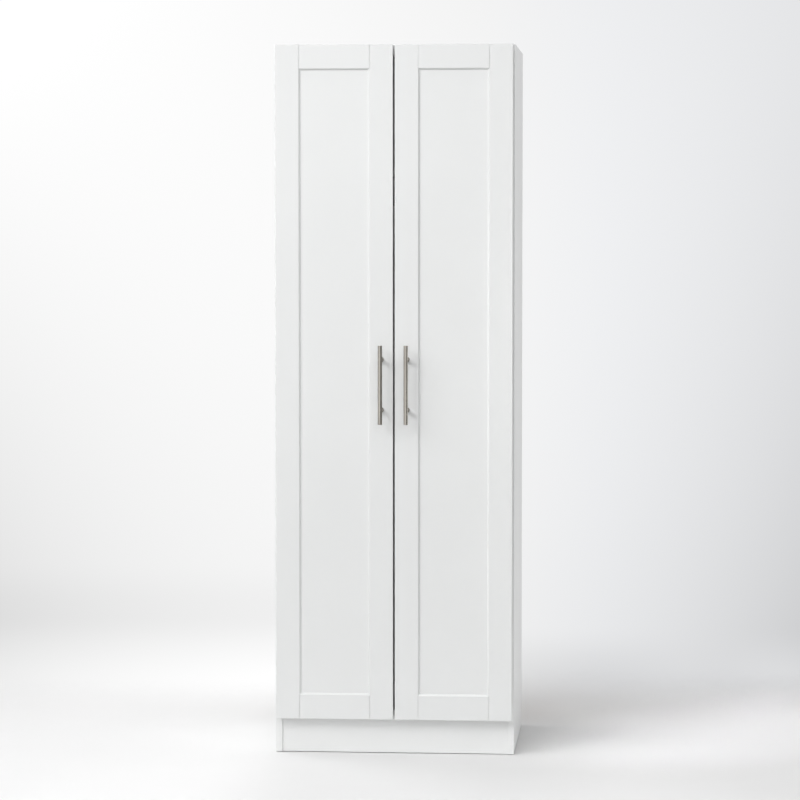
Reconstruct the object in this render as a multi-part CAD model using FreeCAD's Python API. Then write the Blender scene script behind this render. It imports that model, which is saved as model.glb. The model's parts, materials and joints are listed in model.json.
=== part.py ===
import FreeCAD, Part
import os
import math

V = FreeCAD.Vector

# ---------------------------------------------------------------- driving dimensions (mm)
# Frame: +Z up, the front faces -Y, +X to the right seen from the front.
# Origin: bottom centre of the whole object's box, on the floor.
WIDTH = 610.0            # over the side panels
HEIGHT = 1805.0          # floor to top
DEPTH = 500.0            # door face to back of the back panel
PULL_PROJ = 35.0         # how far the bar pulls stand out of the doors
BOARD = 16.0             # carcass board thickness
GLIDE_H = 1.6            # floor glides lift the boards by this much

DOOR_T = 18.0            # door thickness
DOOR_GAP = 3.0           # doors' back face to the carcass front edges
DOOR_Z0 = 90.0           # lower edge of the doors
DOOR_Z1 = 1804.0         # upper edge of the doors
SIDE_REVEAL = 4.0        # side panel seen beyond each door
MID_GAP = 4.6            # gap between the two doors
STILE = 59.0             # stile face width
RAIL = 60.0              # top rail face width
RAIL_LOW = 62.0          # bottom rail face width
BEVEL = 4.5              # 45 degree bevel around the panel
TOE = 1.0                # upright step under the bevel
PANEL_T = 6.0            # door panel thickness
GROOVE = 10.0            # depth of the panel groove
EDGE_R = 1.2             # rounding of the doors' outer edges
JOINT_W = 0.9            # width of the joint line between rail and stile
JOINT_D = 2.5            # depth of the joint line

BOTTOM_Z = 96.0          # underside of the bottom panel
KICK_SET = 5.0           # toe kick behind the sides' front edges
SHELF_Z = 1473.0         # underside of the hat shelf
SHELF_SET = 12.0         # hat shelf behind the carcass front
BACK_T = 3.0             # back panel thickness
RAIL_Z = 1413.0          # centre of the hanging rail
TUBE_H = 30.0            # oval tube height
TUBE_W = 15.0            # oval tube width
TUBE_T = 1.2             # oval tube wall

BAR_D = 11.0             # bar pull diameter
BAR_L = 200.0            # bar pull length
POST_D = 10.0            # pull post diameter
FOOT_D = 15.0            # collar at the foot of each post
FOOT_T = 3.0             # thickness of that collar
POST_CC = 128.0          # pull post spacing
PULL_Z = 945.5           # height of the pulls' centre
PULL_X = 32.7            # pulls' distance from the middle of the wardrobe

HINGE_Z = (205.0, 700.0, 1195.0, 1689.0)
CUP_D = 35.0             # hinge cup diameter
CUP_DEEP = 12.0          # hinge cup depth
CUP_EDGE = 20.5          # cup centre from the door's outer edge
PIN_D = 3.0              # hinge pin
PIN_U = -4.5             # pin, measured inward from the side panel's inner face
PIN_V = 10.6             # pin, measured forward from the carcass front

# ---------------------------------------------------------------- derived places
X1 = WIDTH / 2.0
XI = X1 - BOARD                       # inner face of the side panels
Y_BACK = (DEPTH + PULL_PROJ) / 2.0    # back face
Y_FACE = Y_BACK - DEPTH               # door front face
Y_DB = Y_FACE + DOOR_T                # door back face
Y_CF = Y_DB + DOOR_GAP                # carcass front
Y_CB = Y_BACK - BACK_T                # carcass back edges
TOP_Z = HEIGHT - BOARD
FLOOR_Z = BOTTOM_Z + BOARD
BAR_Y = Y_FACE - PULL_PROJ + BAR_D / 2.0
DOOR_OUT = X1 - SIDE_REVEAL
DOOR_IN = MID_GAP / 2.0
DOOR_W = DOOR_OUT - DOOR_IN

X = V(1, 0, 0)
Y = V(0, 1, 0)
Z = V(0, 0, 1)


def box(x0, x1, y0, y1, z0, z1):
    return Part.makeBox(x1 - x0, y1 - y0, z1 - z0, V(x0, y0, z0))


def cyl(p, axis, r, length):
    return Part.makeCylinder(r, length, V(*p), axis)


def fuse(shapes):
    out = shapes[0]
    for s in shapes[1:]:
        out = out.fuse(s)
    return out.removeSplitter()


def cut_all(shape, tools):
    if not tools:
        return shape
    return shape.cut(tools)


def prism_xy(points, z0, z1):
    """Closed outline in the XY plane, raised from z0 to z1."""
    pts = [V(x, y, z0) for x, y in points]
    return Part.Face(Part.makePolygon(pts + pts[:1])).extrude(V(0, 0, z1 - z0))


def prism_yz(points, x0, x1):
    """Closed outline in the YZ plane, drawn out from x0 to x1."""
    pts = [V(x0, y, z) for y, z in points]
    return Part.Face(Part.makePolygon(pts + pts[:1])).extrude(V(x1 - x0, 0, 0))


def oval_x(yc, zc, w, h, x0, x1):
    """Upright oval bar along X: two half rounds joined by flats."""
    r = w / 2.0
    s = h / 2.0 - r
    mid = box(x0, x1, yc - r, yc + r, zc - s, zc + s)
    a = cyl((x0, yc, zc + s), X, r, x1 - x0)
    b = cyl((x0, yc, zc - s), X, r, x1 - x0)
    return fuse([mid, a, b])


def round_edges(shape, r, keep):
    edges = [e for e in shape.Edges if keep(e)]
    return shape.makeFillet(r, edges) if edges else shape


def along(edge, axis):
    d = edge.Vertexes[-1].Point - edge.Vertexes[0].Point
    return d.Length > 1e-6 and abs(abs(d.dot(axis)) / d.Length - 1.0) < 1e-6


def mirror_x(shape):
    return shape.mirror(V(0, 0, 0), X)


nodes = {}

# ---------------------------------------------------------------- knock-down fittings
# Each joint: a cam in the board, a bolt screwed into the side panel.
CAM_R, CAM_H, CAM_B = 7.4, 12.4, 34.0     # cam radius, height, distance from the side
cam_solids, bolt_solids, dowel_solids = [], [], []
side_cuts = {-1: [], 1: []}
board_cuts = {"top": [], "bottom": [], "shelf": [], "kick": [], "rear": []}


def cam_joint(board, side, y, z, face):
    """Cam and bolt at a board's end. face is the way the cam's mouth looks."""
    xs = side * XI
    inward = V(-side, 0, 0)
    # bolt: thread in the side panel, shank and head in the board
    thread = cyl((xs + side * 11.0, y, z), inward, 3.0, 11.0)
    shank = cyl((xs, y, z), inward, 2.6, CAM_B - 4.0)
    collar = cyl((xs, y, z), inward, 3.4, 1.6)
    head = cyl((xs - side * (CAM_B - 4.0), y, z), inward, 3.3, 3.0)
    bolt_solids.append(fuse([thread, shank, collar, head]))
    side_cuts[side].append(cyl((xs + side * 11.6, y, z), inward, 3.05, 11.6))
    board_cuts[board].append(cyl((xs + side * 0.5, y, z), inward, 3.9, CAM_B + 0.5))
    # cam: its mouth is a board face 8 mm from the bolt's line
    c = V(xs - side * CAM_B, y, z) + face * (BOARD / 2.0)
    deep = face * -1.0
    body = Part.makeCylinder(CAM_R, CAM_H, c + deep * 0.4, deep)
    slot = cyl((xs - side * (CAM_B - 9.0), y, z), inward, 3.8, 14.5)
    body = body.cut(slot)
    # crossed screwdriver slots in the cam's face
    other = V(0, 1, 0) if abs(face.z) > 0.5 else V(0, 0, 1)
    for d in (X, other):
        e = X if d is other else other
        lo = c + deep * 0.3 - d * 4.5 - e * 0.7
        hi = c + deep * 2.0 + d * 4.5 + e * 0.7
        bar = box(min(lo.x, hi.x), max(lo.x, hi.x), min(lo.y, hi.y), max(lo.y, hi.y),
                  min(lo.z, hi.z), max(lo.z, hi.z))
        body = body.cut(bar)
    cam_solids.append(body)
    board_cuts[board].append(Part.makeCylinder(CAM_R + 0.1, 13.4, c + face * 0.4, deep))


def dowel_joint(board, side, y, z):
    xs = side * XI
    inward = V(-side, 0, 0)
    d = cyl((xs + side * 11.0, y, z), inward, 4.0, 30.0)
    d = round_edges(d, 0.8, lambda e: True)
    dowel_solids.append(d)
    side_cuts[side].append(cyl((xs + side * 11.6, y, z), inward, 4.06, 11.7))
    board_cuts[board].append(cyl((xs + side * 0.1, y, z), inward, 4.06, 19.8))


DOWN, FRONTW, BACKW = V(0, 0, -1), V(0, -1, 0), V(0, 1, 0)
for side in (-1, 1):
    for board, zc in (("top", TOP_Z + 8.0), ("bottom", BOTTOM_Z + 8.0), ("shelf", SHELF_Z + 8.0)):
        for yj in (Y_CF + 62.0, Y_CB - 62.0):
            cam_joint(board, side, yj, zc, DOWN)
        for yj in (Y_CF + 94.0, Y_CB - 94.0):
            dowel_joint(board, side, yj, zc)
    ykick = Y_CF + KICK_SET + BOARD / 2.0
    yrear = Y_CB - BOARD / 2.0
    cam_joint("kick", side, ykick, 64.0, BACKW)
    dowel_joint("kick", side, ykick, 32.0)
    cam_joint("rear", side, yrear, 64.0, FRONTW)
    dowel_joint("rear", side, yrear, 32.0)

# ---------------------------------------------------------------- back panel nails
nail_solids, nail_cuts_back = [], []
NAIL_R, NAIL_L = 0.7, 18.0
nail_at = []
for z in (140.0, 355.0, 570.0, 785.0, 1000.0, 1215.0, 1430.0, 1645.0, 1780.0):
    nail_at += [("left", -X1 + 8.0, z), ("right", X1 - 8.0, z)]
for x in (-200.0, 0.0, 200.0):
    nail_at += [("top", x + 20.0, TOP_Z + 8.0), ("shelf", x, SHELF_Z + 8.0), ("bottom", x, BOTTOM_Z + 10.0)]
board_cuts["left"], board_cuts["right"] = side_cuts[-1], side_cuts[1]
for board, x, z in nail_at:
    shank = cyl((x, Y_BACK - NAIL_L, z), Y, NAIL_R, NAIL_L - 0.2)
    tip = Part.makeCone(0.1, NAIL_R, 2.0, V(x, Y_BACK - NAIL_L - 2.0, z), Y)
    head = cyl((x, Y_BACK - 1.0, z), Y, 2.0, 1.0)
    nail_solids.append(fuse([shank, tip, head]))
    nail_cuts_back += [cyl((x, Y_CB - 1.0, z), Y, NAIL_R + 0.05, BACK_T + 2.0),
                       cyl((x, Y_BACK - 1.05, z), Y, 2.1, 2.0)]
    board_cuts[board].append(cyl((x, Y_BACK - NAIL_L - 2.5, z), Y, NAIL_R + 0.05, NAIL_L))

# ---------------------------------------------------------------- wall fixing
BRK_X, BRK_LEG, BRK_T, BRK_W = 200.0, 40.0, 2.0, 26.0
WALL_HOLE_R, WALL_HOLE_Z = 3.0, TOP_Z - 24.0
brackets, bracket_screws = [], []
for sx in (-BRK_X, BRK_X):
    up = box(sx - BRK_W / 2, sx + BRK_W / 2, Y_CB - BRK_T, Y_CB, TOP_Z - BRK_LEG, TOP_Z)
    flat = box(sx - BRK_W / 2, sx + BRK_W / 2, Y_CB - BRK_LEG, Y_CB, TOP_Z - BRK_T, TOP_Z)
    b = fuse([up, flat])
    b = round_edges(b, 1.6, lambda e: along(e, X) and abs(e.CenterOfMass.y - (Y_CB - BRK_T)) < 0.1
                    and abs(e.CenterOfMass.z - (TOP_Z - BRK_T)) < 0.1)
    b = round_edges(b, 5.0, lambda e: (along(e, Y) and e.Length < 2.5 and e.CenterOfMass.z < TOP_Z - 30)
                    or (along(e, Z) and e.Length < 2.5 and e.CenterOfMass.y < Y_CB - 30))
    b = b.cut(cyl((sx, Y_CB - 5, WALL_HOLE_Z), Y, WALL_HOLE_R, 10))
    b = b.cut(cyl((sx, Y_CB - 24.0, TOP_Z - 5), Z, 2.3, 10))
    brackets.append(b)
    nail_cuts_back.append(cyl((sx, Y_CB - 5, WALL_HOLE_Z), Y, WALL_HOLE_R, 15))
    s = fuse([cyl((sx, Y_CB - 24.0, TOP_Z - BRK_T - 2.2), Z, 3.8, 2.2),
              cyl((sx, Y_CB - 24.0, TOP_Z - BRK_T - 0.5), Z, 2.0, 14.0)])
    s = s.cut(box(sx - 2.6, sx + 2.6, Y_CB - 24.6, Y_CB - 23.4, TOP_Z - BRK_T - 3, TOP_Z - BRK_T - 1.1))
    s = s.cut(box(sx - 0.6, sx + 0.6, Y_CB - 26.6, Y_CB - 21.4, TOP_Z - BRK_T - 3, TOP_Z - BRK_T - 1.1))
    bracket_screws.append(s)
    board_cuts["top"].append(cyl((sx, Y_CB - 24.0, TOP_Z - 0.5), Z, 2.05, 12.6))
nodes["anti_tip_brackets"] = Part.makeCompound(brackets)
nodes["anti_tip_screws"] = Part.makeCompound(bracket_screws)

# ---------------------------------------------------------------- hanging rail and its sockets
RAIL_Y = (Y_CF + Y_CB) / 2.0
SOCK_T, SOCK_L = 3.5, 15.0
tube_x = XI - SOCK_T - 0.4
tube = oval_x(RAIL_Y, RAIL_Z, TUBE_W, TUBE_H, -tube_x, tube_x)
tube = tube.cut(oval_x(RAIL_Y, RAIL_Z, TUBE_W - 2 * TUBE_T, TUBE_H - 2 * TUBE_T, -tube_x - 1, tube_x + 1))
nodes["hanging_rail"] = tube
socket_screws = []
for side, name in ((-1, "left_rail_socket"), (1, "right_rail_socket")):
    a, b = sorted((side * XI, side * (XI - SOCK_T)))
    plate = oval_x(RAIL_Y, RAIL_Z, 31.0, 66.0, a, b)
    plate = round_edges(plate, 1.2, lambda e: abs(e.CenterOfMass.x - side * (XI - SOCK_T)) < 0.01)
    a, b = sorted((side * XI, side * (XI - SOCK_L)))
    collar = oval_x(RAIL_Y, RAIL_Z, TUBE_W + 5.0, TUBE_H + 5.0, a, b)
    s = fuse([plate, collar])
    a, b = sorted((side * (XI - SOCK_T), side * (XI - SOCK_L - 1)))
    s = s.cut(oval_x(RAIL_Y, RAIL_Z, TUBE_W + 0.2, TUBE_H + 0.2, a, b))
    for dz in (-25.0, 25.0):
        z = RAIL_Z + dz
        inward = V(-side, 0, 0)
        s = s.cut(cyl((side * (XI + 1), RAIL_Y, z), inward, 2.1, 10))
        s = s.cut(cyl((side * (XI - SOCK_T + 2.0), RAIL_Y, z), inward, 4.1, 3))
        sc = fuse([cyl((side * (XI - SOCK_T + 2.0), RAIL_Y, z), inward, 4.0, 1.8),
                   cyl((side * (XI + 11.0), RAIL_Y, z), inward, 2.0, 12.6)])
        sc = sc.cut(box(side * (XI - SOCK_T + 1) - 1.0, side * (XI - SOCK_T + 1) + 1.0,
                        RAIL_Y - 2.6, RAIL_Y + 2.6, z - 0.6, z + 0.6).translated(V(-side * 1.2, 0, 0)))
        sc = sc.cut(box(side * (XI - SOCK_T + 1) - 1.0, side * (XI - SOCK_T + 1) + 1.0,
                        RAIL_Y - 0.6, RAIL_Y + 0.6, z - 2.6, z + 2.6).translated(V(-side * 1.2, 0, 0)))
        socket_screws.append(sc)
        side_cuts[side].append(cyl((side * (XI + 11.5), RAIL_Y, z), inward, 2.05, 11.6))
    nodes[name] = s
nodes["rail_socket_screws"] = Part.makeCompound(socket_screws)

# ---------------------------------------------------------------- floor glides
glides = []
for side in (-1, 1):
    for y in (Y_CF + 45.0, Y_CB - 45.0):
        x = side * (X1 - BOARD / 2.0)
        disc = cyl((x, y, 0), Z, 7.0, GLIDE_H)
        disc = round_edges(disc, 0.6, lambda e: abs(e.CenterOfMass.z) < 0.01)
        g = fuse([disc, cyl((x, y, GLIDE_H - 0.5), Z, 1.2, 12.0)])
        glides.append(g)
        side_cuts[side].append(cyl((x, y, GLIDE_H - 1), Z, 1.25, 13.0))
nodes["floor_glides"] = Part.makeCompound(glides)

# ---------------------------------------------------------------- hinges
# Local places: u inward from the side panel's inner face, v forward of the carcass front.
# Built for the left side, then mirrored for the right.


def hx(u):
    return -XI + u


def hy(v):
    return Y_CF - v


CUP_U = -(DOOR_OUT - XI) + CUP_EDGE
PIN_X, PIN_Y = hx(PIN_U), hy(PIN_V)
cups, pins, cup_screws, plates, arms, plate_screws, arm_screws = [], [], [], [], [], [], []
stile_cuts, hinge_side_cuts = [], []
for hz in HINGE_Z:
    cx = hx(CUP_U)
    # door half: steel cup with a screwed flange and two cheeks that hold the pin
    outer = cyl((cx, Y_DB + 0.0, hz), V(0, -1, 0), CUP_D / 2 - 0.05, CUP_DEEP)
    inner = cyl((cx, Y_DB + 5.0, hz), V(0, -1, 0), CUP_D / 2 - 0.85, CUP_DEEP + 5.0 - 0.8)
    flange = fuse([cyl((cx, Y_DB, hz), Y, CUP_D / 2 + 0.9, 1.1),
                   box(cx - 1.0, cx + 11.0, Y_DB, Y_DB + 1.1, hz - 24.0, hz + 24.0),
                   cyl((cx + 5.5, Y_DB, hz - 24.0), Y, 5.5, 1.1),
                   cyl((cx + 5.5, Y_DB, hz + 24.0), Y, 5.5, 1.1)])
    cup = fuse([outer, flange]).cut(inner)
    cheek_face = [(hx(-7.4), Y_DB - 0.5), (hx(3.0), Y_DB - 0.5), (hx(3.0), Y_DB - CUP_DEEP + 0.5), (hx(-7.4), Y_DB - CUP_DEEP + 0.5)]
    for za, zb in ((hz - 6.2, hz - 5.0), (hz + 5.0, hz + 6.2)):
        cheek = prism_xy(cheek_face, za, zb).common(
            cyl((cx, Y_DB, hz), V(0, -1, 0), CUP_D / 2 - 0.5, CUP_DEEP - 0.3))
        cup = cup.fuse(cheek)
    cup = cup.removeSplitter()
    cup = cup.cut(cyl((PIN_X, PIN_Y, hz - 9.0), Z, PIN_D / 2 + 0.01, 18.0))
    for dz in (-24.0, 24.0):
        cup = cup.cut(cyl((cx + 5.5, Y_DB - 1.0, hz + dz), Y, 1.9, 5.0))
    cups.append(cup)
    pin = cyl((PIN_X, PIN_Y, hz - 6.3), Z, PIN_D / 2, 12.6)
    pins.append(round_edges(pin, 0.3, lambda e: True))
    for dz in (-24.0, 24.0):
        sx, sz = cx + 5.5, hz + dz
        s = fuse([cyl((sx, Y_DB + 1.1, sz), Y, 3.4, 1.5), cyl((sx, Y_DB + 1.6, sz), V(0, -1, 0), 1.75, 12.6)])
        s = s.cut(box(sx - 2.2, sx + 2.2, Y_DB + 1.8, Y_DB + 4, sz - 0.5, sz + 0.5))
        s = s.cut(box(sx - 0.5, sx + 0.5, Y_DB + 1.8, Y_DB + 4, sz - 2.2, sz + 2.2))
        cup_screws.append(s)
        stile_cuts.append(cyl((sx, Y_DB + 1, sz), V(0, -1, 0), 1.8, 12.6))
    stile_cuts.append(cyl((cx, Y_DB + 1, hz), V(0, -1, 0), CUP_D / 2 + 0.05, CUP_DEEP + 1.2))
    # carcass half: winged mounting plate with a raised middle
    plate = fuse([box(hx(0), hx(2.0), hy(-20), hy(-20) + 34.0, hz - 24.0, hz + 24.0),
                  box(hx(0), hx(5.5), hy(-14), hy(-14) + 46.0, hz - 6.0, hz + 6.0)])
    plate = round_edges(plate, 4.0, lambda e: along(e, X) and abs(abs(e.CenterOfMass.z - hz) - 24.0) < 0.1)
    for dz in (-16.0, 16.0):
        sy, sz = hy(-37.0), hz + dz
        plate = plate.cut(cyl((hx(-1), sy, sz), X, 2.6, 5))
        s = fuse([cyl((hx(2.0), sy, sz), X, 4.2, 1.8), cyl((hx(-11.0), sy, sz), X, 2.5, 13.5)])
        s = s.cut(box(hx(2.8), hx(5), sy - 2.8, sy + 2.8, sz - 0.6, sz + 0.6))
        s = s.cut(box(hx(2.8), hx(5), sy - 0.6, sy + 0.6, sz - 2.8, sz + 2.8))
        plate_screws.append(s)
        hinge_side_cuts.append(cyl((hx(-11.6), sy, sz), X, 2.55, 11.7))
    # arm: strip that hooks into the cup and turns on the pin, with a stiffened tail
    top_v, low_v, leg_u = PIN_V + 2.5, PIN_V + 0.5, 5.5
    hook = prism_xy([(hx(PIN_U), hy(low_v)), (hx(leg_u), hy(low_v)), (hx(leg_u), hy(-16)), (hx(leg_u + 2), hy(-16)),
                     (hx(leg_u + 2), hy(top_v - 2.6)), (hx(leg_u - 0.6), hy(top_v)), (hx(PIN_U), hy(top_v))],
                    hz - 4.2, hz + 4.2)
    knuckle = cyl((PIN_X, PIN_Y, hz - 4.2), Z, 2.8, 8.4)
    tail = box(hx(5.5), hx(7.5), hy(-12), hy(-12) + 48.0, hz - 7.5, hz + 7.5)
    rib_a = box(hx(3.6), hx(7.5), hy(-12), hy(-12) + 48.0, hz - 7.5, hz - 6.3)
    rib_b = box(hx(3.6), hx(7.5), hy(-12), hy(-12) + 48.0, hz + 6.3, hz + 7.5)
    arm = fuse([hook, knuckle, tail, rib_a, rib_b])
    arm = arm.cut(cyl((PIN_X, PIN_Y, hz - 9), Z, PIN_D / 2 + 0.05, 18))
    for sv, hr in ((-24.0, 3.0), (-48.0, 3.6)):
        sy = hy(sv)
        arm = arm.cut(cyl((hx(4), sy, hz), X, 2.1, 8))
        plate = plate.cut(cyl((hx(1.0), sy, hz), X, 2.05, 8))
        s = fuse([cyl((hx(7.5), sy, hz), X, hr, 2.0), cyl((hx(1.5), sy, hz), X, 2.0, 7.0)])
        s = s.cut(box(hx(8.4), hx(11), sy - 2.2, sy + 2.2, hz - 0.5, hz + 0.5))
        s = s.cut(box(hx(8.4), hx(11), sy - 0.5, sy + 0.5, hz - 2.2, hz + 2.2))
        arm_screws.append(s)
    plates.append(plate)
    arms.append(arm)

for name, group in (("hinge_cups", cups), ("hinge_pins", pins), ("cup_screws", cup_screws),
                    ("hinge_plates", plates), ("hinge_arms", arms), ("plate_screws", plate_screws),
                    ("arm_screws", arm_screws)):
    nodes["left_" + name] = Part.makeCompound(group)
    nodes["right_" + name] = Part.makeCompound([mirror_x(s) for s in group])
side_cuts[-1] += hinge_side_cuts
side_cuts[1] += [mirror_x(s) for s in hinge_side_cuts]

# ---------------------------------------------------------------- magnetic catch under the top panel
CATCH_Z0, CATCH_V = TOP_Z - 14.0, 1.0
housing = box(-26.0, 26.0, hy(CATCH_V), hy(CATCH_V) + 20.0, CATCH_Z0, TOP_Z)
housing = round_edges(housing, 1.5, lambda e: along(e, Y) or along(e, Z) and e.CenterOfMass.y > hy(0))
magnets, catch_screws = [], []
for sx in (-14.0, 14.0):
    housing = housing.cut(box(sx - 7.0, sx + 7.0, hy(CATCH_V) - 1, hy(CATCH_V) + 11.0, CATCH_Z0 + 3.5, TOP_Z - 4.0))
    m = box(sx - 6.95, sx + 6.95, hy(1.4), hy(1.4) + 11.0, CATCH_Z0 + 3.55, TOP_Z - 4.05)
    magnets.append(m)
for sx in (-21.5, 21.5):
    y = hy(CATCH_V) + 15.5
    housing = housing.cut(cyl((sx, y, CATCH_Z0 - 1), Z, 1.8, 30))
    housing = housing.cut(cyl((sx, y, CATCH_Z0 - 1), Z, 3.3, 3.0))
    s = fuse([cyl((sx, y, CATCH_Z0 + 0.3), Z, 3.2, 1.7), cyl((sx, y, CATCH_Z0 + 1.0), Z, 1.7, 22.0)])
    s = s.cut(box(sx - 2.2, sx + 2.2, y - 0.5, y + 0.5, CATCH_Z0 - 1, CATCH_Z0 + 1.2))
    s = s.cut(box(sx - 0.5, sx + 0.5, y - 2.2, y + 2.2, CATCH_Z0 - 1, CATCH_Z0 + 1.2))
    catch_screws.append(s)
    board_cuts["top"].append(cyl((sx, y, TOP_Z - 1), Z, 1.75, 10.6))
nodes["catch_housing"] = housing
nodes["catch_magnets"] = Part.makeCompound(magnets)
nodes["catch_screws"] = Part.makeCompound(catch_screws)

# ---------------------------------------------------------------- carcass boards
side = box(-X1, -XI, Y_CF, Y_CB, GLIDE_H, HEIGHT)
side = round_edges(side, 0.8, lambda e: (along(e, Z) and abs(e.CenterOfMass.y - Y_CF) < 0.1)
                   or (along(e, Y) and abs(e.CenterOfMass.x + X1) < 0.1)
                   or (along(e, Z) and abs(e.CenterOfMass.x + X1) < 0.1)
                   or (along(e, X) and abs(e.CenterOfMass.y - Y_CF) < 0.1))
nodes["left_side_panel"] = cut_all(side, side_cuts[-1])
nodes["right_side_panel"] = cut_all(mirror_x(side), side_cuts[1])


def front_rounded(shape, y):
    return round_edges(shape, 0.8, lambda e: along(e, X) and abs(e.CenterOfMass.y - y) < 0.1)


top = front_rounded(box(-XI, XI, Y_CF, Y_CB, TOP_Z, HEIGHT), Y_CF)
nodes["top_panel"] = cut_all(top, board_cuts["top"])
bottom = front_rounded(box(-XI, XI, Y_CF, Y_CB, BOTTOM_Z, FLOOR_Z), Y_CF)
nodes["bottom_panel"] = cut_all(bottom, board_cuts["bottom"])
shelf = front_rounded(box(-XI, XI, Y_CF + SHELF_SET, Y_CB, SHELF_Z, SHELF_Z + BOARD), Y_CF + SHELF_SET)
nodes["hat_shelf"] = cut_all(shelf, board_cuts["shelf"])
kick = box(-XI, XI, Y_CF + KICK_SET, Y_CF + KICK_SET + BOARD, GLIDE_H, BOTTOM_Z)
kick = round_edges(kick, 0.8, lambda e: along(e, X) and abs(e.CenterOfMass.y - Y_CF - KICK_SET) < 0.1
                   and e.CenterOfMass.z < 10)
nodes["toe_kick"] = cut_all(kick, board_cuts["kick"])
rear = box(-XI, XI, Y_CB - BOARD, Y_CB, GLIDE_H, BOTTOM_Z)
nodes["rear_plinth_rail"] = cut_all(rear, board_cuts["rear"])
back = box(-X1 + 2.0, X1 - 2.0, Y_CB, Y_BACK, BOTTOM_Z + 2.0, HEIGHT - 2.0)
nodes["back_panel"] = cut_all(back, nail_cuts_back)
nodes["cam_locks"] = Part.makeCompound(cam_solids)
nodes["cam_bolts"] = Part.makeCompound(bolt_solids)
nodes["dowels"] = Part.makeCompound(dowel_solids)
nodes["back_panel_nails"] = Part.makeCompound(nail_solids)

# ---------------------------------------------------------------- doors (left door, then mirrored)
DX0, DX1 = -DOOR_OUT, -DOOR_IN
blank = box(DX0, DX1, Y_FACE, Y_DB, DOOR_Z0, DOOR_Z1)
envelope = blank.makeFillet(EDGE_R, blank.Edges)


def frame_outline(width):
    """Section of a frame member: (distance from the outer edge, depth from the face)."""
    w = width + BEVEL
    g0, g1 = BEVEL + TOE, BEVEL + TOE + PANEL_T
    return [(0, 0), (width, 0), (w, BEVEL), (w, g0), (w - GROOVE, g0), (w - GROOVE, g1), (w, g1), (w, DOOR_T), (0, DOOR_T)]


hinge_stile = prism_xy([(DX0 + a, Y_FACE + d) for a, d in frame_outline(STILE)], DOOR_Z0, DOOR_Z1).common(envelope)
meet_stile = prism_xy([(DX1 - a, Y_FACE + d) for a, d in frame_outline(STILE)], DOOR_Z0, DOOR_Z1).common(envelope)
rx0, rx1 = DX0 + STILE + BEVEL - GROOVE, DX1 - STILE - BEVEL + GROOVE
top_rail = prism_yz([(Y_FACE + d, DOOR_Z1 - a) for a, d in frame_outline(RAIL)], rx0, rx1)
low_rail = prism_yz([(Y_FACE + d, DOOR_Z0 + a) for a, d in frame_outline(RAIL_LOW)], rx0, rx1)
top_rail = top_rail.common(envelope).cut([hinge_stile, meet_stile])
low_rail = low_rail.common(envelope).cut([hinge_stile, meet_stile])
slits = []
for z0, z1 in ((DOOR_Z0 - 1, DOOR_Z0 + RAIL_LOW), (DOOR_Z1 - RAIL, DOOR_Z1 + 1)):
    slits.append(box(DX0 + STILE, DX0 + STILE + JOINT_W, Y_FACE - 1, Y_FACE + JOINT_D, z0, z1))
    slits.append(box(DX1 - STILE - JOINT_W, DX1 - STILE, Y_FACE - 1, Y_FACE + JOINT_D, z0, z1))
top_rail, low_rail, hinge_stile, meet_stile = [b.cut(slits) for b in (top_rail, low_rail, hinge_stile, meet_stile)]
ex = STILE + BEVEL - GROOVE + 1.0
ez0 = RAIL_LOW + BEVEL - GROOVE + 1.0
ez1 = RAIL + BEVEL - GROOVE + 1.0
door_panel = box(DX0 + ex, DX1 - ex, Y_FACE + BEVEL + TOE, Y_FACE + BEVEL + TOE + PANEL_T, DOOR_Z0 + ez0, DOOR_Z1 - ez1)

# bar pull: bar, two posts with a collar at the door and a saddle end at the bar, machine screws from the back
bar = cyl((-PULL_X, BAR_Y, PULL_Z - BAR_L / 2), Z, BAR_D / 2, BAR_L)
bar = round_edges(bar, 0.8, lambda e: e.Length > 20 and not along(e, Z))
posts, pull_screws, pull_cuts = [], [], []
for dz in (-POST_CC / 2, POST_CC / 2):
    z = PULL_Z + dz
    foot = cyl((-PULL_X, Y_FACE, z), V(0, -1, 0), FOOT_D / 2, FOOT_T)
    foot = round_edges(foot, 1.0, lambda e: abs(e.CenterOfMass.y - Y_FACE + FOOT_T) < 0.05 and not along(e, Y))
    p = fuse([cyl((-PULL_X, Y_FACE, z), V(0, -1, 0), POST_D / 2, Y_FACE - BAR_Y), foot])
    p = p.cut(cyl((-PULL_X, BAR_Y, z - 20), Z, BAR_D / 2 + 0.02, 40))
    p = p.cut(cyl((-PULL_X, Y_FACE + 1, z), V(0, -1, 0), 2.05, 15.5))
    posts.append(p)
    s = fuse([cyl((-PULL_X, Y_DB, z), Y, 4.4, 2.4), cyl((-PULL_X, Y_DB + 0.5, z), V(0, -1, 0), 2.0, DOOR_T + 13.0)])
    s = s.cut(box(-PULL_X - 2.9, -PULL_X + 2.9, Y_DB + 1.2, Y_DB + 4, z - 0.6, z + 0.6))
    s = s.cut(box(-PULL_X - 0.6, -PULL_X + 0.6, Y_DB + 1.2, Y_DB + 4, z - 2.9, z + 2.9))
    pull_screws.append(s)
    pull_cuts.append(cyl((-PULL_X, Y_FACE - 5, z), Y, 2.2, DOOR_T + 10))

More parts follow.
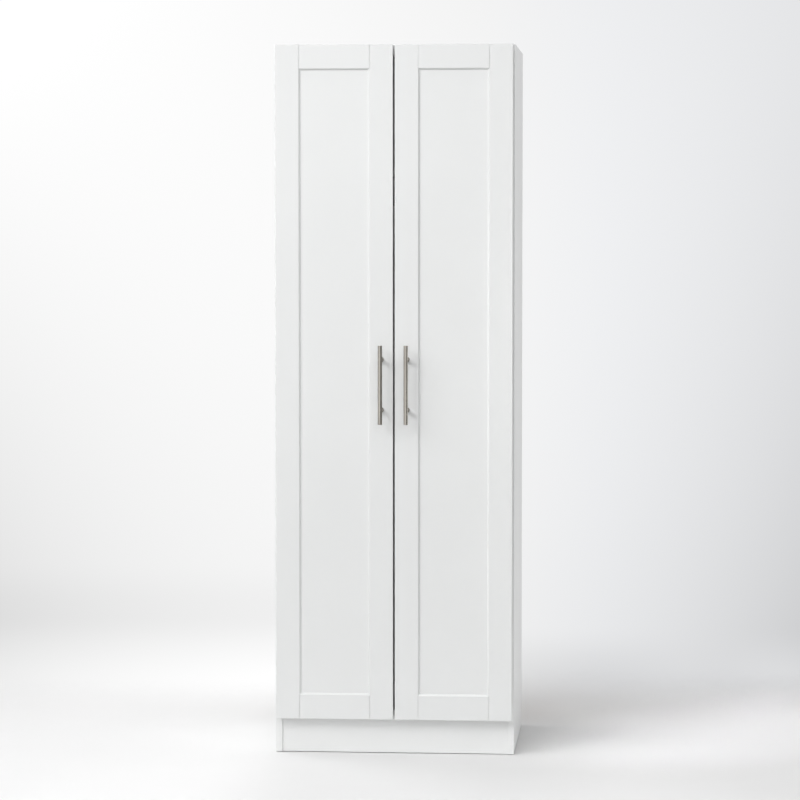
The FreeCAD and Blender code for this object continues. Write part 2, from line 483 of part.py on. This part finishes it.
# bumpers on the back of the meeting stile, strike plate for the catch
bumpers = []
for z in (DOOR_Z0 + 14.0, DOOR_Z1 - 7.5):
    b = cyl((-14.0, Y_DB, z), Y, 4.5, 2.6)
    bumpers.append(round_edges(b, 1.4, lambda e: abs(e.CenterOfMass.y - Y_DB - 2.6) < 0.05 and not along(e, Y)))
cz = (CATCH_Z0 + TOP_Z) / 2.0
strike = box(-28.0, -5.5, Y_DB, Y_DB + 1.2, cz - 6.5, cz + 6.5)
strike = round_edges(strike, 2.5, lambda e: along(e, Y))
strike = strike.cut(cyl((-24.0, Y_DB - 1, cz), Y, 2.9, 4))
strike_screw = fuse([cyl((-24.0, Y_DB, cz), Y, 2.8, 1.2), cyl((-24.0, Y_DB + 0.5, cz), V(0, -1, 0), 1.4, 10.5)])
strike_screw = strike_screw.cut(box(-26.0, -22.0, Y_DB + 0.6, Y_DB + 3, cz - 0.4, cz + 0.4))
strike_screw = strike_screw.cut(box(-24.4, -23.6, Y_DB + 0.6, Y_DB + 3, cz - 2.0, cz + 2.0))
pull_cuts.append(cyl((-24.0, Y_DB + 1, cz), V(0, -1, 0), 1.45, 11.6))

door = {
    "hinge_stile": cut_all(hinge_stile, stile_cuts),
    "meeting_stile": cut_all(meet_stile, pull_cuts),
    "top_rail": top_rail,
    "bottom_rail": low_rail,
    "door_panel": door_panel,
    "handle_bar": bar,
    "handle_posts": Part.makeCompound(posts),
    "handle_screws": Part.makeCompound(pull_screws),
    "door_bumpers": Part.makeCompound(bumpers),
    "strike_plate": strike,
    "strike_screw": strike_screw,
}
for name, shape in door.items():
    nodes["left_" + name] = shape
    nodes["right_" + name] = mirror_x(shape)

# ---------------------------------------------------------------- write one file per piece
os.makedirs("parts", exist_ok=True)
for name, shape in nodes.items():
    shape.exportStep("parts/" + name + ".step")
    solids = shape.Solids
    print("%-22s solids %2d  volume %.1f cm3  valid %s" % (
        name, len(solids), sum(s.Volume for s in solids) / 1000.0, all(s.isValid() for s in solids)))
whole = Part.makeCompound(list(nodes.values())).BoundBox
print("box", whole, "nodes", len(nodes))
print("pin axis x %.2f y %.2f" % (PIN_X, PIN_Y))
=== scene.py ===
import json
import math
import bpy
import bmesh
from mathutils import Matrix, Vector

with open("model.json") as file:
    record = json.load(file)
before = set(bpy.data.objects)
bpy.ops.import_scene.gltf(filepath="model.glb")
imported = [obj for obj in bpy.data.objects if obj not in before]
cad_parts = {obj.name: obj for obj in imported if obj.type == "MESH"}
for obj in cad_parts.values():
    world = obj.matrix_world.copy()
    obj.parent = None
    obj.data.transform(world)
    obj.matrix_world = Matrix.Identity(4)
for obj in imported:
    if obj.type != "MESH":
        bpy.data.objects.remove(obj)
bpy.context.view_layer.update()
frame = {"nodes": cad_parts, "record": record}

scene = bpy.context.scene
scene.view_settings.view_transform = "Standard"
scene.view_settings.look = "None"
scene.view_settings.exposure = 0.0
scene.view_settings.gamma = 1.0

# ------------------------------------------------------------------ camera
# Solved from the edges of the body: about 7.8 m in front of the doors, eye height 1.36 m, a little to the right.
FOCAL_PX, IMAGE_PX = 3093.6, 800.0
yaw, pitch, roll = (math.radians(a) for a in (-4.5875, -3.3259, -0.0050))
fwd = Vector((math.sin(yaw) * math.cos(pitch), math.cos(yaw) * math.cos(pitch), math.sin(pitch)))
right = Vector((math.cos(yaw), -math.sin(yaw), 0.0))
up = right.cross(fwd)
right_r = right * math.cos(roll) + up * math.sin(roll)
up_r = up * math.cos(roll) - right * math.sin(roll)
cam_data = bpy.data.cameras.new("camera")
cam_data.sensor_fit = "HORIZONTAL"
cam_data.sensor_width = 36.0
cam_data.lens = 36.0 * FOCAL_PX / IMAGE_PX
cam_data.clip_start, cam_data.clip_end = 0.1, 100.0
cam = bpy.data.objects.new("camera", cam_data)
scene.collection.objects.link(cam)
rot = Matrix((right_r, up_r, -fwd)).transposed().to_4x4()
cam.matrix_world = Matrix.Translation((0.6416, -7.7990 - 0.2325, 1.3615)) @ rot
scene.camera = cam


# ------------------------------------------------------------------ node helpers
class Nodes:
    """Small helper around one node tree."""

    def __init__(self, tree):
        self.tree = tree
        tree.nodes.clear()

    def add(self, kind, **sets):
        n = self.tree.nodes.new(kind)
        for k, v in sets.items():
            setattr(n, k, v)
        return n

    def link(self, a, b):
        self.tree.links.new(a, b)

    def value(self, node, name, v):
        node.inputs[name].default_value = v

    def noise(self, vector, scale, detail=2.0, rough=0.5, distortion=0.0):
        n = self.add("ShaderNodeTexNoise")
        n.inputs["Scale"].default_value = scale
        n.inputs["Detail"].default_value = detail
        n.inputs["Roughness"].default_value = rough
        n.inputs["Distortion"].default_value = distortion
        if vector is not None:
            self.link(vector, n.inputs["Vector"])
        return n.outputs["Fac"]

    def ramp(self, fac, lo, hi, a, b, smooth=False):
        n = self.add("ShaderNodeMapRange")
        n.interpolation_type = "SMOOTHSTEP" if smooth else "LINEAR"
        n.inputs["From Min"].default_value = lo
        n.inputs["From Max"].default_value = hi
        n.inputs["To Min"].default_value = a
        n.inputs["To Max"].default_value = b
        self.link(fac, n.inputs["Value"])
        return n.outputs["Result"]

    def math(self, op, a, b=None, clamp=False):
        n = self.add("ShaderNodeMath", operation=op, use_clamp=clamp)
        for i, v in enumerate((a, b)):
            if v is None:
                continue
            if isinstance(v, (int, float)):
                n.inputs[i].default_value = v
            else:
                self.link(v, n.inputs[i])
        return n.outputs[0]

    def mix(self, fac, a, b):
        n = self.add("ShaderNodeMix", data_type="RGBA")
        self.link(fac, n.inputs["Factor"]) if not isinstance(fac, float) else None
        for name, v in (("A", a), ("B", b)):
            sock = [s for s in n.inputs if s.name == name and s.type == "RGBA"][0]
            if isinstance(v, tuple):
                sock.default_value = (*v, 1.0)
            else:
                self.link(v, sock)
        return [s for s in n.outputs if s.type == "RGBA"][0]

    def bump(self, height, strength, distance, normal=None):
        n = self.add("ShaderNodeBump")
        n.inputs["Strength"].default_value = strength
        n.inputs["Distance"].default_value = distance
        self.link(height, n.inputs["Height"])
        if normal is not None:
            self.link(normal, n.inputs["Normal"])
        return n.outputs["Normal"]

    def stretched(self, vector, sx, sy, sz):
        n = self.add("ShaderNodeMapping")
        n.inputs["Scale"].default_value = (sx, sy, sz)
        self.link(vector, n.inputs["Vector"])
        return n.outputs["Vector"]


def new_material(name):
    m = bpy.data.materials.new(name)
    m.use_nodes = True
    t = Nodes(m.node_tree)
    out = t.add("ShaderNodeOutputMaterial")
    p = t.add("ShaderNodeBsdfPrincipled")
    t.link(p.outputs["BSDF"], out.inputs["Surface"])
    co = t.add("ShaderNodeTexCoord").outputs["Object"]
    return m, t, p, co


# ------------------------------------------------------------------ materials
def white_board(name, tone, rough, grain, pearl, edge_highlight_tone):
    """Satin white finish: faint cloudiness, fine surface grain, softly polished edges in a lighter colour, a painted
    highlight.
    """
    m, t, p, co = new_material(name)
    cloud = t.noise(co, 2.2, 3.0, 0.55)
    fine = t.noise(t.stretched(co, 260.0, 260.0, 40.0 if grain == "z" else 260.0), 1.0, 3.0, 0.6)
    lo = tuple(c * 0.985 for c in tone)
    hi = tuple(min(1.0, c * 1.008) for c in tone)
    base = t.mix(t.ramp(cloud, 0.3, 0.7, 0.0, 1.0, True), lo, hi)
    speck = tuple(c * 0.988 for c in tone)
    base = t.mix(t.ramp(fine, 0.58, 0.8, 0.0, 0.5), base, speck)
    # edges: where the rounded normal leaves the true one, the colour turns lighter, a painted highlight along the
    # rounded edges, and the finish a little glossier
    bev = t.add("ShaderNodeBevel", samples=4)
    bev.inputs["Radius"].default_value = 0.0012
    geo = t.add("ShaderNodeNewGeometry")
    dot = t.add("ShaderNodeVectorMath", operation="DOT_PRODUCT")
    t.link(bev.outputs["Normal"], dot.inputs[0])
    t.link(geo.outputs["Normal"], dot.inputs[1])
    edge = t.ramp(dot.outputs["Value"], 0.99, 0.86, 0.0, 0.55)
    edge = t.math("MULTIPLY", edge, t.ramp(t.noise(co, 30.0, 3.0, 0.6), 0.35, 0.65, 0.55, 1.0))
    base = t.mix(edge, base, edge_highlight_tone)
    t.link(base, p.inputs["Base Color"])
    spread = t.noise(co, 24.0, 3.0, 0.6)
    r = t.ramp(spread, 0.3, 0.7, rough - 0.035, rough + 0.045)
    r = t.math("SUBTRACT", r, t.math("MULTIPLY", edge, 0.08))
    t.link(r, p.inputs["Roughness"])
    t.value(p, "Specular IOR Level", 0.42)
    wave = t.noise(co, 5.5, 2.0, 0.5)
    n1 = t.bump(wave, 0.10, 0.0015)
    n2 = t.bump(t.noise(co, pearl, 2.0, 0.6), 0.05, 0.0003, n1)
    t.link(n2, p.inputs["Normal"])
    return m


def brushed(name, tone_lo, tone_hi, rough, axis, streak=1400.0, aniso=0.0):
    """Brushed or drawn metal: fine streaks along one axis, cloudy tarnish, darker scuffs."""
    m, t, p, co = new_material(name)
    s = {"x": (6.0, streak, streak), "y": (streak, 6.0, streak), "z": (streak, streak, 6.0)}[axis]
    lines = t.noise(t.stretched(co, *s), 1.0, 4.0, 0.65)
    cloud = t.noise(co, 45.0, 3.0, 0.6)
    base = t.mix(t.ramp(lines, 0.32, 0.68, 0.0, 1.0), tone_lo, tone_hi)
    base = t.mix(t.ramp(cloud, 0.45, 0.8, 0.0, 0.35), base, tuple(c * 0.8 for c in tone_lo))
    t.link(base, p.inputs["Base Color"])
    t.value(p, "Metallic", 1.0)
    r = t.math("ADD", t.ramp(lines, 0.3, 0.7, rough - 0.07, rough + 0.07), t.ramp(cloud, 0.4, 0.8, 0.0, 0.08))
    t.link(r, p.inputs["Roughness"])
    if aniso:
        t.value(p, "Anisotropic", aniso)
    t.link(t.bump(lines, 0.22, 0.00012), p.inputs["Normal"])
    return m


def plated(name, tone, rough, spangle=0.0):
    """Plated pressed steel: soft mottling with faint press marks."""
    m, t, p, co = new_material(name)
    v = t.add("ShaderNodeTexVoronoi")
    v.inputs["Scale"].default_value = 420.0
    t.link(co, v.inputs["Vector"])
    cloud = t.noise(co, 90.0, 4.0, 0.6)
    dark = tuple(c * 0.82 for c in tone)
    base = t.mix(t.ramp(cloud, 0.35, 0.7, 0.0, 1.0), dark, tone)
    if spangle:
        base = t.mix(t.math("MULTIPLY", v.outputs["Distance"], spangle), base, tuple(min(1.0, c * 1.2) for c in tone))
    t.link(base, p.inputs["Base Color"])
    t.value(p, "Metallic", 1.0)
    t.link(t.ramp(cloud, 0.3, 0.75, rough - 0.05, rough + 0.1), p.inputs["Roughness"])
    t.link(t.bump(t.noise(co, 260.0, 2.0, 0.5), 0.12, 0.0002), p.inputs["Normal"])
    return m


def moulded(name, tone, rough, scale=700.0, coat=0.0):
    """Moulded plastic or rubber with a fine spark-eroded grain."""
    m, t, p, co = new_material(name)
    grain = t.noise(co, scale, 2.0, 0.6)
    cloud = t.noise(co, 30.0, 2.0, 0.5)
    base = t.mix(t.ramp(cloud, 0.3, 0.7, 0.0, 1.0), tuple(c * 0.94 for c in tone), tone)
    t.link(base, p.inputs["Base Color"])
    t.link(t.ramp(grain, 0.3, 0.7, rough - 0.06, rough + 0.08), p.inputs["Roughness"])
    t.link(t.bump(grain, 0.18, 0.00025), p.inputs["Normal"])
    if coat:
        t.value(p, "Coat Weight", coat)
    return m


def hardboard(name):
    """Thin hardboard: white printed face to the inside, raw brown fibre face to the back."""
    m, t, p, co = new_material(name)
    geo = t.add("ShaderNodeNewGeometry")
    sep = t.add("ShaderNodeSeparateXYZ")
    t.link(geo.outputs["Normal"], sep.inputs[0])
    inside = t.ramp(sep.outputs["Y"], -0.6, -0.4, 1.0, 0.0)
    fib = t.noise(t.stretched(co, 420.0, 420.0, 130.0), 1.0, 5.0, 0.7)
    chips = t.noise(co, 150.0, 4.0, 0.65, 1.2)
    brown = t.mix(t.ramp(fib, 0.3, 0.7, 0.0, 1.0), (0.235, 0.135, 0.068), (0.40, 0.255, 0.145))
    brown = t.mix(t.ramp(chips, 0.5, 0.72, 0.0, 0.6), brown, (0.155, 0.086, 0.043))
    blot = t.noise(co, 3.0, 3.0, 0.6)
    brown = t.mix(t.ramp(blot, 0.35, 0.7, 0.0, 0.35), brown, (0.46, 0.31, 0.19))
    white = t.mix(t.ramp(fib, 0.3, 0.7, 0.0, 1.0), (0.74, 0.74, 0.73), (0.80, 0.80, 0.79))
    t.link(t.mix(inside, brown, white), p.inputs["Base Color"])
    t.link(t.ramp(inside, 0.0, 1.0, 0.72, 0.48), p.inputs["Roughness"])
    t.link(t.bump(fib, 0.25, 0.0003), p.inputs["Normal"])
    return m


def timber(name, lo, hi):
    m, t, p, co = new_material(name)
    g = t.noise(t.stretched(co, 40.0, 900.0, 900.0), 1.0, 5.0, 0.6)
    t.link(t.mix(t.ramp(g, 0.3, 0.7, 0.0, 1.0), lo, hi), p.inputs["Base Color"])
    t.link(t.ramp(g, 0.3, 0.7, 0.5, 0.65), p.inputs["Roughness"])
    t.link(t.bump(g, 0.3, 0.0003), p.inputs["Normal"])
    return m


WHITE = (0.792, 0.80, 0.797)
finishes = {
    "white_laminate": white_board("laminate_white", (0.853, 0.86, 0.856), 0.42, "", 1500.0, (0.875, 0.88, 0.877)),
    "white_door": white_board("lacquer_white", WHITE, 0.38, "z", 900.0, (0.833, 0.84, 0.837)),
    "white_hardboard": hardboard("hardboard"),
    "beech": timber("beech", (0.50, 0.33, 0.18), (0.66, 0.48, 0.29)),
    "brushed_nickel": brushed("brushed_nickel", (0.262, 0.246, 0.222), (0.352, 0.331, 0.299), 0.27, "z"),
    "nickel_steel": plated("nickel_steel", (0.66, 0.655, 0.64), 0.28),
    "zinc_steel": plated("zinc_steel", (0.60, 0.61, 0.62), 0.36, 0.5),
    "magnet_steel": plated("magnet_steel", (0.16, 0.16, 0.165), 0.5),
    "cast_zinc": plated("cast_zinc", (0.56, 0.57, 0.58), 0.48, 0.3),
    "chrome_tube": brushed("chrome_tube", (0.74, 0.75, 0.76), (0.82, 0.825, 0.83), 0.11, "x", 900.0),
    "socket_plastic": moulded("socket_plastic", (0.78, 0.78, 0.77), 0.42),
    "glide_plastic": moulded("glide_plastic", (0.05, 0.05, 0.052), 0.5),
    "clear_rubber": moulded("clear_rubber", (0.72, 0.73, 0.73), 0.3, 500.0, 0.3),
}
for sub in frame["record"]["subparts"]:
    obj = frame["nodes"][sub["node"]]
    mat = finishes[sub["material_slot"]]
    if not obj.material_slots:
        obj.data.materials.append(mat)
    for s in obj.material_slots:
        s.material = mat

# ------------------------------------------------------------------ floor
bm = bmesh.new()
bmesh.ops.create_circle(bm, cap_ends=True, segments=128, radius=6.0)
floor_mesh = bpy.data.meshes.new("floor")
bm.to_mesh(floor_mesh)
bm.free()
floor = bpy.data.objects.new("floor", floor_mesh)
scene.collection.objects.link(floor)
m, t, p, co = new_material("studio_floor")
tone = t.noise(co, 0.9, 2.0, 0.5)
place = t.add("ShaderNodeSeparateXYZ")
t.link(co, place.inputs[0])
# painted light and shade in the floor colour: darker in the middle in front of the object and lighter to both sides
aside = t.ramp(t.math("MAXIMUM", place.outputs["X"], t.math("MULTIPLY", place.outputs["X"], -1.45)), 0.28, 0.66, 0.0, 1.0, True)
painted_shade_middle = t.mix(t.ramp(tone, 0.3, 0.7, 0.0, 1.0), (0.775, 0.775, 0.775), (0.795, 0.795, 0.795))
painted_light_aside = t.mix(t.ramp(tone, 0.3, 0.7, 0.0, 1.0), (0.853, 0.853, 0.853), (0.877, 0.877, 0.877))
pale = t.mix(aside, painted_shade_middle, painted_light_aside)
# painted shadow: the floor colour darkens towards grey round a spot beside the right-hand side of the object
from_painted_shadow = t.add("ShaderNodeVectorMath", operation="DISTANCE")
t.link(co, from_painted_shadow.inputs[0])
from_painted_shadow.inputs[1].default_value = (0.25, 0.2, 0.0)
pale = t.mix(t.ramp(from_painted_shadow.outputs["Value"], 0.14, 0.40, 0.5, 0.0, True), pale, (0.68, 0.68, 0.68))
t.link(pale, p.inputs["Base Color"])
t.link(t.ramp(t.noise(co, 6.0, 3.0, 0.6), 0.3, 0.7, 0.5, 0.62), p.inputs["Roughness"])
t.value(p, "Specular IOR Level", 0.25)
length = t.add("ShaderNodeVectorMath", operation="LENGTH")
t.link(co, length.inputs[0])
rim = t.ramp(length.outputs["Value"], 1.35, 2.3, 0.0, 1.0, True)
depth = t.add("ShaderNodeSeparateXYZ")
t.link(co, depth.inputs[0])
leftward = t.ramp(depth.outputs["X"], -0.6, 0.3, 0.35, 0.0, True)
fade = t.math("MAXIMUM", rim, t.ramp(t.math("ADD", depth.outputs["Y"], leftward), 0.30, 1.4, 0.0, 1.0, True))
# the fade is a very fine stipple, much smaller than a pixel
stipple = t.add("ShaderNodeTexWhiteNoise", noise_dimensions="3D")
t.link(co, stipple.inputs["Vector"])
fade = t.math("GREATER_THAN", fade, stipple.outputs["Value"])
clear = t.add("ShaderNodeBsdfTransparent")
both = t.add("ShaderNodeMixShader")
t.link(fade, both.inputs[0])
t.link(p.outputs["BSDF"], both.inputs[1])
t.link(clear.outputs[0], both.inputs[2])
t.link(both.outputs[0], [n for n in t.tree.nodes if n.type == "OUTPUT_MATERIAL"][0].inputs["Surface"])
floor_mesh.materials.append(m)

# ------------------------------------------------------------------ light
# A bright curved backdrop behind and beside the object, dim in front, and softboxes round it.
world = bpy.data.worlds.new("studio")
scene.world = world
world.use_nodes = True
w = Nodes(world.node_tree)
w_out = w.add("ShaderNodeOutputWorld")
bg = w.add("ShaderNodeBackground")
w.link(bg.outputs[0], w_out.inputs["Surface"])
direction = w.add("ShaderNodeTexCoord").outputs["Generated"]


def facing(vector):
    n = w.add("ShaderNodeVectorMath", operation="DOT_PRODUCT")
    w.link(direction, n.inputs[0])
    n.inputs[1].default_value = vector
    return n.outputs["Value"]


def lobe(vector, strength):
    return w.math("MULTIPLY", w.math("MAXIMUM", facing(vector), 0.0), strength)


room = w.math("ADD", lobe((0.0, 1.0, 0.0), 0.645), lobe((1.0, 0.0, 0.0), 0.228))
# to the eye the rest of the studio is an even, pale sweep
paths = w.add("ShaderNodeLightPath")
eye = paths.outputs["Is Camera Ray"]
# and a pale room for the metal to mirror
mirrored = w.math("ADD", w.math("ADD", lobe((0.0, 1.0, 0.0), 1.122), lobe((-1.0, 0.0, 0.0), 0.64)), 0.34)
card = w.math("POWER", w.math("MAXIMUM", facing((-0.574, -0.819, 0.0)), 0.0), 14.0)
mirrored = w.math("ADD", mirrored, w.math("MULTIPLY", card, 1.4))
gloss = paths.outputs["Is Glossy Ray"]
room = w.math("ADD", w.math("MULTIPLY", room, w.math("SUBTRACT", 1.0, gloss)), w.math("MULTIPLY", mirrored, gloss))
sweep = w.ramp(facing((0.0, 0.0, 1.0)), -0.35, 0.5, 0.76, 0.88, True)
room = w.math("ADD", w.math("MULTIPLY", sweep, eye), w.math("MULTIPLY", room, w.math("SUBTRACT", 1.0, eye)))
# the piece of backdrop behind the object: a soft glow, brightest to the upper left, that falls off to the lower right
ahead = facing(fwd)
span = FOCAL_PX / 400.0
gu = w.ramp(w.math("DIVIDE", facing(right_r), ahead), -1.5 / span, 1.5 / span, -1.5, 1.5)
gv = w.ramp(w.math("DIVIDE", facing(up_r), ahead), -1.5 / span, 1.5 / span, 1.5, -1.5)
uu, vv = w.math("MULTIPLY", gu, gu), w.math("MULTIPLY", gv, gv)
glow = w.math("ADD", w.math("MULTIPLY", gu, -0.0747), w.math("MULTIPLY", gv, -0.0402))
for term, weight in ((uu, -0.1327), (vv, -0.0471), (w.math("MULTIPLY", gu, gv), 0.0307),
                     (w.math("MULTIPLY", uu, gv), -0.1176), (w.math("MULTIPLY", gu, vv), -0.0136)):
    glow = w.math("ADD", glow, w.math("MULTIPLY", term, weight))
glow = w.math("ADD", glow, 0.9307)
# where the backdrop curves into the floor: a faint darker band, and a brighter floor to the left
leftward = w.ramp(gu, -0.35, 0.35, 1.0, 0.0, True)
band = w.math("MULTIPLY", w.ramp(gv, 0.40, 0.51, 0.0, -0.030, True), w.ramp(gv, 0.53, 0.62, 1.0, 0.0, True))
curve = w.math("ADD", band, w.ramp(gv, 0.54, 0.72, 0.0, 0.135, True))
glow = w.math("ADD", glow, w.math("MULTIPLY", leftward, curve))
# to the right a long soft shade behind the object, and a lighter floor beyond it
shade = w.math("ADD", w.ramp(gu, 0.45, 0.80, -0.11, 0.0, True), w.ramp(gu, 0.75, 1.0, 0.0, 0.10, True))
shade = w.math("MULTIPLY", shade, w.ramp(gu, 0.10, 0.30, 0.0, 1.0, True))
glow = w.math("ADD", glow, w.math("MULTIPLY", shade, w.ramp(gv, 0.56, 0.70, 0.0, 1.0, True)))
near = w.ramp(ahead, math.cos(math.radians(24.0)), math.cos(math.radians(12.0)), 0.0, 1.0, True)
level = w.math("ADD", w.math("MULTIPLY", glow, near), w.math("MULTIPLY", room, w.math("SUBTRACT", 1.0, near)))
w.link(level, bg.inputs["Strength"])
# a slightly cooler shade to the right
cool = w.math("MULTIPLY", w.ramp(gu, 0.15, 0.55, 0.0, 1.0, True), near)
w.link(w.mix(cool, (1.0, 1.0, 1.0), (0.992, 1.0, 1.018)), bg.inputs["Color"])


def softbox(name, azimuth, elevation, size, power, distance=3.5, target=(0.0, -0.2, 1.0), spread=180.0):
    """Square softbox aimed at the object; azimuth counts to the left of straight in front."""
    a, e = math.radians(azimuth), math.radians(elevation)
    aim = Vector(target)
    place = aim + distance * Vector((-math.sin(a) * math.cos(e), -math.cos(a) * math.cos(e), math.sin(e)))
    data = bpy.data.lights.new(name, "AREA")
    data.shape = "SQUARE"
    data.size = size
    data.energy = power
    data.spread = math.radians(spread)
    o = bpy.data.objects.new(name, data)
    scene.collection.objects.link(o)
    o.location = place
    o.rotation_mode = "QUATERNION"
    o.rotation_quaternion = (aim - place).to_track_quat("-Z", "Y")
    o.visible_camera = False
    return o


softbox("key", 37, 30, 1.6, 76.5, 4.5)
softbox("top_left", 30, 72, 2.0, 24.9, 4.5)
softbox("top_front", 15, 60, 1.4, 7.8)
softbox("front_low", 0, 5, 2.0, 17.5)
softbox("front_right", -18.43, 33.0, 3.0, 37.3, 3.544)
softbox("side_right", -75, 25, 2.0, 5.0)
softbox("side_low", -95, 0, 1.0, 31.0, 5.0, (0.0, -0.2, 0.85))
softbox("rim_left", 120, 20, 2.0, 55.9).visible_glossy = False
softbox("floor_spill", 66.8, 34.32, 1.0, 3.8, 4.611, (1.3, -0.1, 0.0), 60.0)
softbox("floor_right", 22, 68, 0.4, 0.26, 4.5, (0.67, 0.0, 0.0), 12.0)
softbox("floor_far", 22, 68, 0.4, 0.34, 4.5, (1.05, 0.62, 0.0), 12.0)
